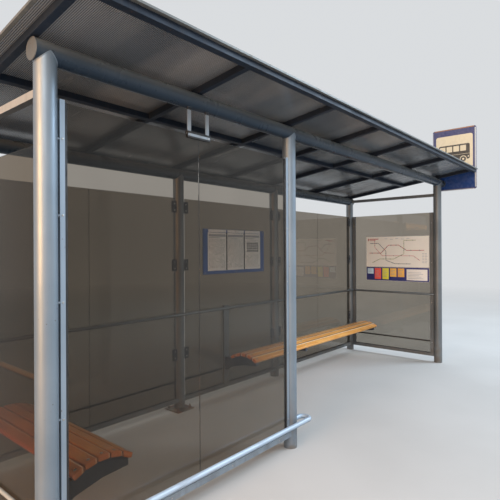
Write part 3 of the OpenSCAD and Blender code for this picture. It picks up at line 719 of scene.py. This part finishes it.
# Glass clamps: black moulded blocks with a slot for the pane, three up each side of a rear
# bay. Two socket screws pull the halves together on a soft liner.
clamp_reach, clamp_height = .074954, .115
clamp_faces = 1.351, 1.369
clamp_feet = .5025, 1.3975, 1.98182

clamp_black = moulded("black_moulded_clamp", (.014, .014, .017), (.034, .034, .037),
                      30, 55, (.38, .58), 500, .00012)
dress(clamp_black, "glass_clamps", edge=.001)
socket_head = [(0, -.0004), (.0062, -.0004), (.0062, .0042), (.0056, .0048), (.0032, .0048),
               (.0032, .0018), (0, .0018)]
fastened("clamp_screws", socket_head, zinc,
         *(((x + side * clamp_reach, face, foot + clamp_height * part), way)
           for x, side in rear_bay_ends for foot in clamp_feet for part in (.22, .78)
           for face, way in zip(clamp_faces, (front, back))), smooth=30)


# Benches: five softwood boards each, laid round a shallow crown so that water runs off, with
# rounded edges. The varnish is orange-brown, with pale patches of wear. A pale line along one
# edge of each board is a painted highlight, and a dark line at each gap between boards is
# painted shade. The ends, where water gets in, are redder and darker. Coach bolts hold every
# board to every bracket.
seat_radius = .34
seat_centre_height = .158
board_step, board_pitch = radians(13.35), .0785
rear_bench_middle = 1.045
rear_bracket_xs = 2.645, 3.58, 5.41
side_bench_middle = .332
side_bracket_ys = .075, 1.26


def varnished_wood(name, along, across, middle, ends, deep, bright, joint, edge_highlight_share):
    """Varnished boards whose grain runs along one axis; each board has its own tone."""
    finish, shader, place = start_finish(name)
    stretch = tuple(1.1 if axis == along else 26 for axis in "XYZ")
    boards = worked("DIVIDE", worked("SUBTRACT", along_axis(place, across), middle),
                    board_pitch)
    board = worked("ROUND", boards)
    tone = finish.node_tree.nodes.new("ShaderNodeTexWhiteNoise")
    tone.noise_dimensions = "1D"
    finish.node_tree.links.new(board, tone.inputs["W"])
    shifted = joined("VectorMath", place, tone.outputs["Color"])
    grain = mottled(shifted.outputs["Vector"], 3.4, stretch, detail=8, low=.3, high=.7)
    pores = mottled(shifted.outputs["Vector"], 16, stretch, detail=3, low=.52, high=.66)
    colour = mixed(grain, deep, bright)
    colour = mixed(tone.outputs["Value"], colour, (.74, .3, .06), .35)
    colour = mixed(pores, colour, (.36, .125, .03), .45)
    wear = mottled(place, 5, detail=6, low=.52, high=.66)
    colour = mixed(wear, colour, tuple(min(1, part * 1.12 + .02) for part in bright), .35)
    reach = along_axis(place, along)
    near_end = worked("MAXIMUM", spread(reach, ends[0] + .09, ends[0]),
                      spread(reach, ends[1] - .09, ends[1]))
    colour = mixed(near_end, colour, (.6, .14, .04), .6)
    across_board = worked("SUBTRACT", boards, board)
    # A pale line along one edge of each board: a painted highlight.
    painted_edge_highlight = worked("MULTIPLY", spread(across_board, joint - .12, joint - .06),
                       spread(across_board, joint + .04, joint - .02))
    colour = mixed(painted_edge_highlight, colour, (1.0, .86, .62), edge_highlight_share)
    from_middle = worked("ABSOLUTE", across_board)
    # A dark line at each gap between boards: painted shade.
    colour = mixed(spread(from_middle, joint, joint + .05), colour, (.17, .052, .016), .95)
    finished(shader, colour, spread(wear, 0, 1, .3, .56), (grain, .0004), (pores, -.0002))
    shader.inputs["Coat Weight"].default_value = .15
    shader.inputs["Coat Roughness"].default_value = .22
    return finish


# The long boards are given brighter colours than the short boards of the same wood: painted
# sunlight.
dress(varnished_wood("varnished_long_boards", "X", "Y", rear_bench_middle, (2.6, 5.47),
                     (.8, .31, .05), (.97, .5, .135), .37, .95), "rear_bench_slats", edge=.0012)
side_wood = varnished_wood("varnished_short_boards", "Y", "X", side_bench_middle, (.045, 1.29),
                           (.56, .2, .04), (.74, .33, .085), .425, .4)
# The strip of the short boards nearest the left end wall is painted bright red: painted sunlight.
colour = side_wood.node_tree.nodes["Principled BSDF"].inputs["Base Color"]
from_wall = along_axis(side_wood.node_tree.nodes["Texture Coordinate"].outputs["Object"], "X")
side_wood.node_tree.links.new(mixed(spread(from_wall, .17, .152), colour.links[0].from_socket,
                                    (1.0, .3, .11)), colour)
dress(side_wood, "side_bench_slats", edge=.0012)
coach_bolt = [(0, -.0006), (.0098, -.0006), (.01, .0003), (.0088, .0016), (.006, .0027),
              (.0025, .0032), (0, .0033)]
spots = []
for k in range(-2, 3):
    lean = board_step * k
    away, rise = seat_radius * sin(lean), seat_radius * cos(lean)
    spots += [((x, rear_bench_middle + away, seat_centre_height + rise),
               (0, sin(lean), cos(lean))) for x in rear_bracket_xs]
    spots += [((side_bench_middle + away, y, seat_centre_height + rise),
               (sin(lean), 0, cos(lean))) for y in side_bracket_ys]
fastened("bench_bolts", coach_bolt, zinc, *spots, smooth=50, sides=20)


# Bench brackets: arms of 40 mm square tube that taper to the seat's edge, with their tops cut to
# the crown. The rear arms are welded to plates on the rear posts and rail, the side ones to two
# legs. They are painted dark blue-grey, with chips where they get knocked.
bracket_paint = satin_paint("dark_bracket_paint", pale=(.085, .105, .135),
                            dark=(.05, .066, .092), metal=.45, gloss=(.3, .44))
dress(bracket_paint, "rear_bench_brackets", "side_bench_brackets", "sign_bracket", edge=.0015)
arm_face, arm_half, arm_foot, up_step = 1.3275, .02, .285, (0, 0, .0013)
welded("bracket_welds", bracket_paint, "bracket_paint",
       *((straight((x + side, arm_face, arm_foot), up_step, 96), .0052, False)
         for x in rear_bracket_xs for side in (-arm_half, arm_half)),
       *((straight((.0608, y + side, arm_foot), up_step, 96), .0052, False)
         for y in side_bracket_ys for side in (-arm_half, arm_half)))


# Timetable board: a steel tray with a turned-in lip, screwed to the rear rail's glass side and
# painted blue. Three printed sheets lie side by side in its pocket, behind the lip. The print is
# a plain grid of rows under a grey heading, with no words on it.
sheet_face = 1.3462
sheet_lefts = 2.3745, 2.6715, 2.9685
sheet_width, sheet_height = .297, .42
pocket_foot = 1.379
pocket_lip_face = 1.344
row_step, row_height, row_gap = .0128, .0042, .0075
tray_screw_xs = 2.335, 2.82, 3.305
tray_screw_heights = 1.3615, 1.8165

dress(satin_paint("blue_tray_paint", pale=(.022, .1, .38), dark=(.015, .072, .29), metal=.1,
                  gloss=(.26, .38), splash=.01, streak=.12), "timetable_board", edge=.0008)


def printed(name, colour, gloss=.35, fade=.08):
    """Ink or coloured film on plastic, faded in patches and a little dusty."""
    finish, shader, place = start_finish(name)
    faded = tuple(part * .88 + fade for part in colour)
    finished(shader, mixed(mottled(place, 7, detail=6, low=.25, high=.75), colour, faded),
             mottled(place, 18, to=(gloss, gloss + .18)), (even(place, 12), .0006),
             (even(place, 900), .00001))
    return finish


def on_sheet(left, foot, right, top, proud=.0002, soft=.00008):
    """A printed bar that stands a hair proud of the paper."""
    return (left, sheet_face - proud, foot), (right, sheet_face, top), soft


paper = printed("grey_white_paper", (.95, .94, .92), fade=.03)
ink = printed("grey_ink", (.14, .145, .16))
heading = printed("pale_heading_ink", (.4, .42, .46))
sheets, rows, bands = [], [], []
draw = random.Random(4)
for left in sheet_lefts:
    right, top = left + sheet_width, pocket_foot + sheet_height
    sheets.append(((left + .0015, sheet_face, pocket_foot + .001),
                   (right - .0015, sheet_face + .0006, top - .001), .0002))
    sheets.append(((left + .01, pocket_lip_face - .0006, top + .003),
                   (right - .01, pocket_lip_face + .0001, top + .032), .0002))
    bands.append(on_sheet(left + .018, top - .046, right - .018, top - .02, .0003, .0001))
    bands.append(on_sheet(left + .018, top - .063, right - .11, top - .0545, .0003, .0001))
    for line in range(25):
        foot = top - .08 - row_step * line
        spot = left + .02
        while spot < right - .036:
            length = draw.uniform(.007, .021)
            if draw.random() < .86:
                rows.append(on_sheet(spot, foot, spot + length, foot + row_height))
            spot += length + row_gap
    for part in (.24, .48, .72):
        x = left + sheet_width * part
        rows.append(on_sheet(x, pocket_foot + .02, x + .0009, top - .066))
for part in range(6):
    for step in range(4):
        rows.append(on_sheet(left + .05 + .035 * part, top - .13 - .028 * step,
                             left + .078 + .035 * part, top - .108 - .028 * step, .0003))
plates("timetable_sheets", paper, "map_print", *sheets)
plates("tray_dividers", black_rubber, "clamp_black",
       *(((left - .009, pocket_lip_face - .0002, pocket_foot + .002),
          (left + .009, sheet_face - .0002, pocket_foot + sheet_height - .002), .0006)
         for left in sheet_lefts[1:]))
plates("timetable_rows", ink, "map_print", *rows)
plates("timetable_headings", heading, "map_print", *bands)
fastened("tray_screws", pan_head, zinc,
         *(((x, pocket_lip_face, z), front) for x in tray_screw_xs for z in tray_screw_heights))


# Map board: two printed plastic plates on the right end pane. The upper one shows a made-up
# network of coloured lines with round stops and a small key. The lower one is navy, with six
# plain cards stuck on it in a row.
map_face = 5.592
map_left, map_width = 1.085, .97
map_foot = 1.338
card_foot, card_height = 1.128, .205
on_print = -.0003, .0002

dress(printed("pale_map_print", (.92, .86, .77), fade=.06), "map_board", edge=.0006)


def on_map(layer, base, left, foot, right, top, soft=.0001):
    """A plate before the map's face, in metres from the map's left and from its base."""
    near, far = layer
    return ((map_face + near, map_left - right, base + foot),
            (map_face + far, map_left - left, base + top), soft)


stops = bmesh.new()
for name, colour, width, line in (
        ("brick_red_line", (.5, .055, .035), .0085,
         ((.05, .21), (.24, .21), (.36, .33), (.52, .33), (.64, .25), (.9, .25))),
        ("grey_line", (.12, .12, .13), .007,
         ((.06, .36), (.2, .36), (.32, .24), (.32, .1), (.46, .05), (.7, .05))),
        ("olive_line", (.3, .33, .08), .0065,
         ((.1, .06), (.22, .12), (.44, .12), (.6, .2), (.6, .4), (.78, .4))),
        ("rose_line", (.62, .13, .12), .006,
         ((.14, .42), (.14, .3), (.26, .17), (.5, .17), (.74, .17), (.84, .1)))):
    drawn_line = bmesh.new()
    points = [Vector((map_face - .0002, map_left - along, map_foot + up)) for along, up in line]
    fine = [start.lerp(end, k / 8) for start, end in zip(points, points[1:]) for k in range(8)]
    fine.append(points[-1])
    swept(drawn_line, fine, [(-width / 2, -.0003), (width / 2, -.0003), (width / 2, .0002),
                             (-width / 2, .0002)], up=(-1, 0, 0))
    made("map_" + name, drawn_line, printed(name, colour))
    for point in fine[2::4]:
        turned(stops, [(0, 0), (width * .95, 0), (width * .95, .0004), (width * .8, .0006),
                       (0, .0006)], point, (-1, 0, 0), 12)
made("map_stops", stops, ink)
plates("map_key", heading, "map_print",
       *(on_map(on_print, map_foot, left, .2 - .022 * k, right + more * (k % 3), .206 - .022 * k)
         for k in range(7) for left, right, more in ((.87, .9, 0), (.908, .938, .004))),
       *(on_map(on_print, map_foot, .3 + .085 * k, .425 - .008 * (k % 2), .345 + .085 * k,
                .431 - .008 * (k % 2)) for k in range(5)))
plates("map_title_rows", printed("title_red", (.5, .05, .035)), "map_print",
       *(on_map(on_print, map_foot, *bar)
         for bar in ((.03, .398, .046, .436), (.056, .42, .2, .432), (.056, .4, .15, .408))))
plates("card_strip", printed("navy_strip", (.014, .022, .18), fade=.03), "map_print",
       on_map((-.0004, .0002), card_foot, .002, .002, map_width - .002, card_height - .002, .0002))
for name, colour, left, right, foot, top in (
        ("pale_blue_card", (.58, .76, .88), .02, .118, .1, .185),
        ("red_card", (.95, .09, .06), .138, .24, .02, .19),
        ("lime_card", (.85, .76, .06), .262, .364, .02, .19),
        ("amber_card", (1.0, .53, .065), .384, .484, .062, .19),
        ("ochre_card", (1.0, .5, .075), .505, .605, .062, .19),
        ("cream_card", (.98, .92, .85), .64, .945, .018, .18)):
    plates(name, printed(name + "_print", colour, .3), "map_print",
           on_map((-.001, -.0003), card_foot, left, foot, right, top, .0002))
lines = []
for left, right, foot, count in ((.03, .108, .128, 3), (.15, .228, .06, 5),
                                 (.274, .352, .06, 5), (.396, .472, .092, 4),
                                 (.517, .593, .092, 4), (.665, .925, .045, 5)):
    for k in range(count):
        end = right - (.012 + .009 * (k % 3)) * (right - left) / .08
        lines.append(on_map((-.0013, -.001), card_foot, left, foot + .021 * k, end,
                            foot + .021 * k + .005))
plates("card_lines", heading, "map_print", *lines)


# Flag sign: a shallow steel tray, square to the open front, on a flanged spigot at the beam's
# end. Its face is enamelled navy with a cream field and a blue panel under it. The field shows
# a plain bus seen from the side; the panel is bare. A thin rim runs round the edge.
sign_face = 5.8341
sign_left, sign_right = .135, -.457
sign_foot, sign_top = 2.45, 3.335
on_face, on_field, on_bus = (-.0006, .0004), (-.001, -.0005), (-.0014, -.0009)
bus_left, bus_right = .048, -.372
wheel_ys, wheel_height = (-.03, -.285), 2.884
rim_layer, rim_end = (sign_face - .0012, sign_face + .0004), .026
bolt_ring = .034

dress(printed("navy_enamel", (.078, .078, .185), .18, fade=.04), "stop_sign", edge=.0008)


def rounded_plate(mesh, layer, left, right, foot, top, corner):
    """A plate on the sign's face with rounded corners, from one depth to another."""
    outline = []
    for y, z, start in ((left - corner, top - corner, 0), (right + corner, top - corner, 90),
                        (right + corner, foot + corner, 180), (left - corner, foot + corner, 270)):
        for k in range(9):
            turn = radians(start + 11.25 * k)
            outline.append((y + corner * cos(turn), z + corner * sin(turn)))
    swept(mesh, [(sign_face + depth, 0, 0) for depth in layer], outline, up=(0, 0, 1))


def disc(mesh, depth, y, radius, thick, sides=32):
    """A round plate at the wheels' height."""
    turned(mesh, [(0, 0), (radius, 0), (radius, thick), (0, thick)],
           (sign_face + depth, y, wheel_height), (-1, 0, 0), sides)


field, panel, bus, windows = (bmesh.new() for part in range(4))
rounded_plate(field, on_face, .087, -.412, 2.76, 3.236, .03)
rounded_plate(panel, on_face, .123, -.445, 2.47, 2.705, .022)
rounded_plate(bus, on_field, bus_left, bus_right, 2.88, 3.1, .022)
for k in range(4):
    left = .034 - .093 * k
    rounded_plate(windows, on_bus, left, left - .078, 3.0, 3.08, .008)
rounded_plate(windows, on_bus, bus_left, bus_right, 2.954, 2.958, .0019)
rounded_plate(windows, on_bus, -.344, -.362, 2.905, 2.925, .008)
for y in wheel_ys:
    disc(windows, -.0008, y, .047, .0006)
    disc(bus, -.001, y, .037, .0008)
    disc(windows, -.0014, y, .015, .0006, 24)
cream = printed("cream_enamel", (.9, .75, .51), .2, fade=.06)
made("sign_field", field, cream)
made("sign_panel", panel, printed("blue_enamel", (.014, .06, .23), .18, fade=.02))
made("sign_bus", bus, printed("dark_brown_enamel", (.05, .036, .022), .22))
made("sign_bus_windows", windows, cream)


def on_rim(right, foot, left, top):
    """A flat strip that runs along one edge of the sign."""
    return (rim_layer[0], right, foot), (rim_layer[1], left, top)


plates("sign_rims", printed("pale_rim_enamel", (.6, .61, .6), .25), "sign_blue",
       on_rim(sign_left - .007, sign_foot + rim_end, sign_left - .001, sign_top - rim_end),
       on_rim(sign_right + .001, sign_foot + rim_end, sign_right + .02, sign_top - rim_end),
       on_rim(sign_right + rim_end, sign_foot + .001, sign_left - rim_end, sign_foot + .007))
plates("sign_top_rim", printed("orange_brown_rim", (.4, .17, .07), .3), "sign_blue",
       on_rim(sign_right + rim_end, sign_top - .015, sign_left - rim_end, sign_top - .001))
bolts = bmesh.new()
for k in range(4):
    turn = radians(45 + 90 * k)
    hex_nut(bolts, (sign_face - .006, bolt_ring * cos(turn),
                    front_beam_height + bolt_ring * sin(turn)), (-1, 0, 0), .0062)
made("sign_bolts", bolts, zinc, smooth=30)


# Studio: a plain pale floor that runs out into a pale backdrop, an even pale light from all
# round, a large soft lamp before the left front, a warm one at the left and a cool one at the
# right.
backdrop = .7, .72, .74

floor_mesh = bmesh.new()
bmesh.ops.create_grid(floor_mesh, x_segments=1, y_segments=1, size=60)
floor_data = bpy.data.meshes.new("floor")
floor_mesh.to_mesh(floor_data)
floor_mesh.free()
floor = bpy.data.objects.new("floor", floor_data)
bpy.context.scene.collection.objects.link(floor)
pale_floor, shader, place = start_finish("pale_floor")
tree = pale_floor.node_tree
tree.links.new(mixed(mottled(place, .8, detail=6), (.52, .51, .495), (.56, .55, .535)),
               shader.inputs["Base Color"])
shader.inputs["Roughness"].default_value = .9
shader.inputs["Specular IOR Level"].default_value = .2
distance = joined("VectorMath", place)
distance.operation = "LENGTH"
glow = tree.nodes.new("ShaderNodeEmission")
glow.inputs["Color"].default_value = (*backdrop, 1)
blended(spread(distance.outputs["Value"], 7, 20), shader.outputs["BSDF"],
        glow.outputs["Emission"], "Material Output")
floor_data.materials.append(pale_floor)

world = bpy.data.worlds.new("studio")
bpy.context.scene.world = world
world.use_nodes = True
tree = world.node_tree
around = tree.nodes["Background"]
around.inputs["Color"].default_value = (.86, .93, 1.0, 1)
around.inputs["Strength"].default_value = .95
seen = tree.nodes.new("ShaderNodeBackground")
seen.inputs["Color"].default_value = (*backdrop, 1)
rays = tree.nodes.new("ShaderNodeLightPath")
no_shade = worked("MAXIMUM", worked("MAXIMUM", rays.outputs["Is Camera Ray"],
                                    rays.outputs["Is Glossy Ray"]),
                  rays.outputs["Is Transmission Ray"])
blended(no_shade, around.outputs["Background"], seen.outputs["Background"], "World Output")

middle = Vector((2.6, .6, 1.2))
for name, spot, size, power, colour in (
        ("key_lamp", (-5.5, -7.5, 7.5), (7.0, 7.0), 420, (1.0, .97, .92)),
        ("warm_side_lamp", (-4.6, -.8, 2.6), (2.8, 4.0), 275, (1.0, .52, .2)),
        ("cool_side_lamp", (9.5, -5.5, 8.0), (5.0, 5.0), 860, (.68, .84, 1.0))):
    lamp_data = bpy.data.lights.new(name, "AREA")
    lamp_data.shape = "ELLIPSE"
    lamp_data.size, lamp_data.size_y = size
    lamp_data.energy = power
    lamp_data.color = colour
    lamp = bpy.data.objects.new(name, lamp_data)
    lamp.location = spot
    lamp.visible_camera = lamp.visible_transmission = False
    lamp.rotation_euler = (middle - Vector(spot)).to_track_quat("-Z", "Y").to_euler()
    bpy.context.scene.collection.objects.link(lamp)


# Camera: at eye height, 1.6 m up, before the left end of the front. It is level and turned so
# that the glazed bay fills the left half and the open bays run off to the right.
eye = -1.0129, -2.1586, 1.6
yaw, pitch, roll = (radians(turn) for turn in (40.5951, .0512, -.2967))
camera_data = bpy.data.cameras.new("camera")
camera_data.sensor_width = 36
camera_data.lens = 32.57
camera_data.clip_start = .05
camera = bpy.data.objects.new("camera", camera_data)
camera.matrix_world = (Matrix.Translation(eye)
                       @ Matrix.Rotation(yaw - pi / 2, 4, "Z")
                       @ Matrix.Rotation(pitch + pi / 2, 4, "X")
                       @ Matrix.Rotation(roll, 4, "Z"))
bpy.context.scene.collection.objects.link(camera)
bpy.context.scene.camera = camera
bpy.context.scene.view_settings.view_transform = "Standard"
